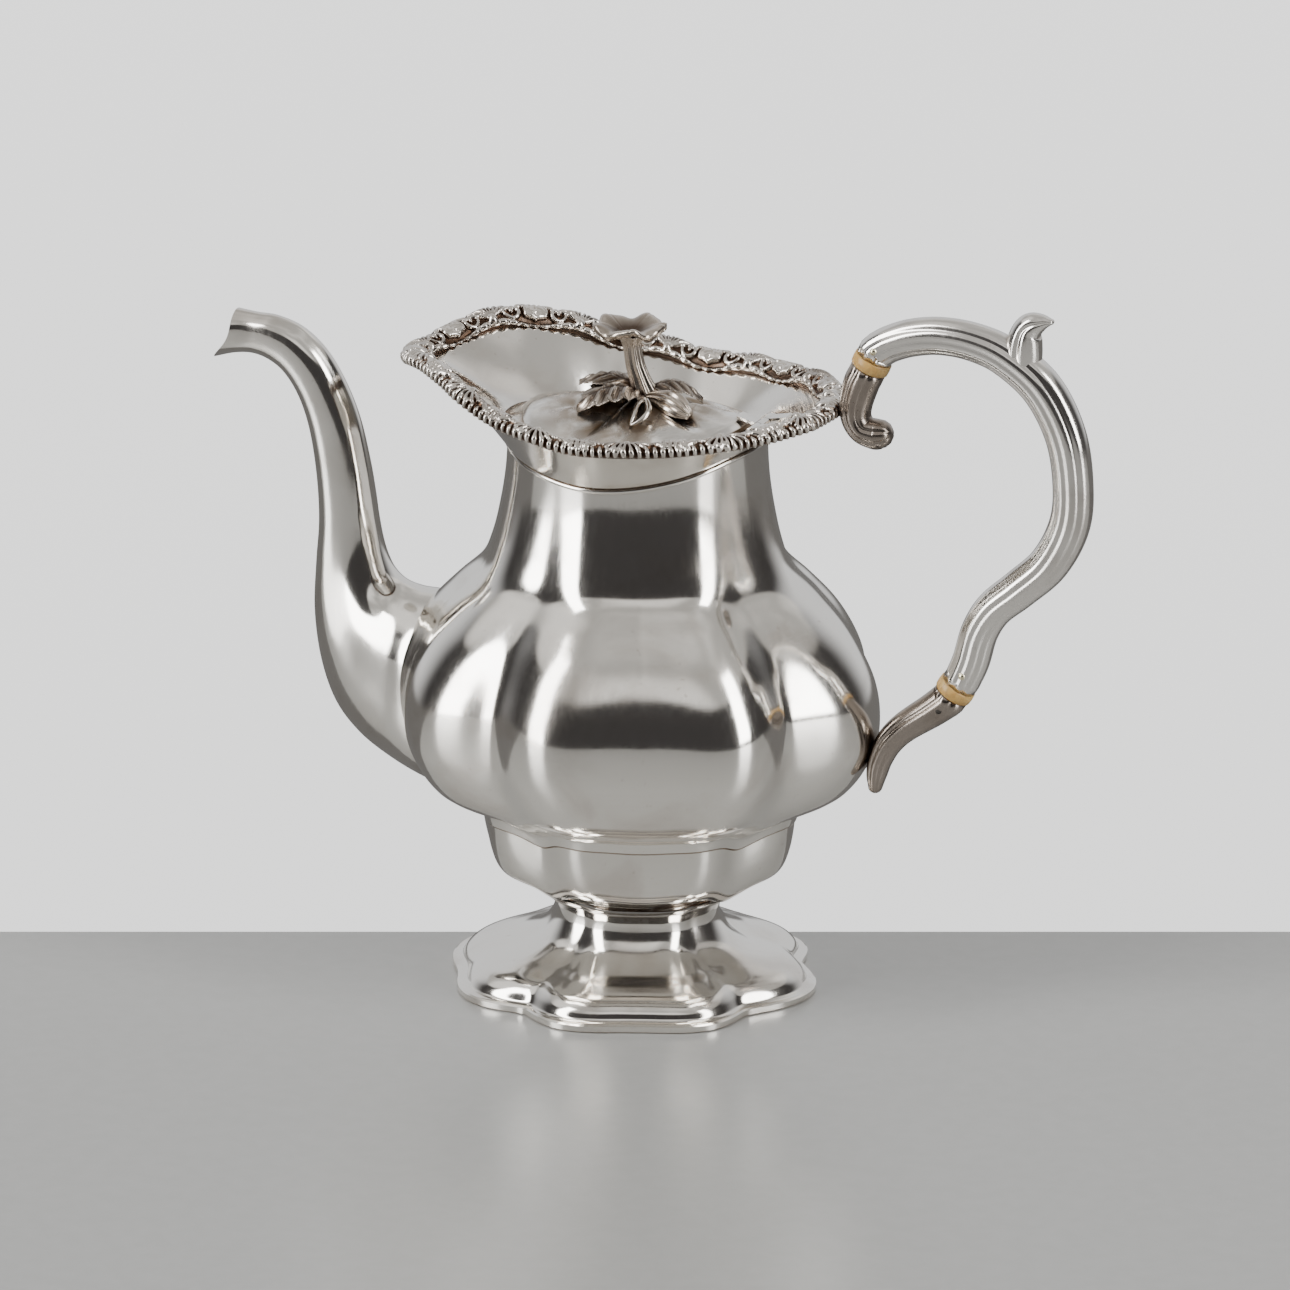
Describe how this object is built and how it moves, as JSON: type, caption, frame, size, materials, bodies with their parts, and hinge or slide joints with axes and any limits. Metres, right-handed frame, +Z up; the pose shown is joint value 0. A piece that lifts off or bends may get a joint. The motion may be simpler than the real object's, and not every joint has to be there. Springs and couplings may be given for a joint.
{
  "type": "silver coffee pot",
  "caption": "Lobed silver coffee pot on a domed foot, with a hinged lid and flower finial, swan-neck spout and scroll handle with bone rings.",
  "frame": {"origin": "on the table, under the middle of the pot's whole length and width", "axes": "+X from the spout to the handle, +Y across the pot to its back, +Z up; the pot's upright axis is at x = -0.003"},
  "size_m": [0.2801, 0.1404, 0.2207],
  "materials": {
    "silver": "polished silver with light tarnish",
    "silver_oxidised": "cast silver, darkened in its hollows",
    "bone": "polished bone, yellowed",
    "brass": "worn, pale"
  },
  "bodies": {
    "pot": {"belly_body": "silver", "lower_bowl": "silver", "foot_collet": "silver", "foot_dome": "silver", "foot_band": "silver", "neck_band": "silver", "collar": "silver", "lid_seat": "silver", "hinge_knuckle_front": "silver", "hinge_knuckle_back": "silver", "spout": "silver", "upper_socket": "silver", "lower_socket": "silver", "handle_grip": "silver", "thumb_leaf": "silver", "collar_border": "silver_oxidised", "upper_insulator": "bone", "lower_insulator": "bone", "hinge_pin": "brass", "upper_grip_pin": "brass", "lower_grip_pin": "brass", "upper_socket_pin": "brass", "lower_socket_pin": "brass"},
    "lid": {"lid_dome": "silver", "lid_bezel": "silver", "hinge_knuckle_lid": "silver", "finial_stem": "silver_oxidised", "finial_flower": "silver_oxidised", "finial_leaf_left": "silver_oxidised", "finial_leaf_front": "silver_oxidised", "finial_leaf_right": "silver_oxidised", "finial_bud": "silver_oxidised", "finial_tendril": "silver_oxidised"}
  },
  "joints": [
    {"name": "lid_hinge", "type": "hinge", "parent": "pot", "child": "lid", "pos_m": [0.0366, 0, 0.1775], "axis": [0, 1, 0], "range_deg": [0, 75]}
  ]
}
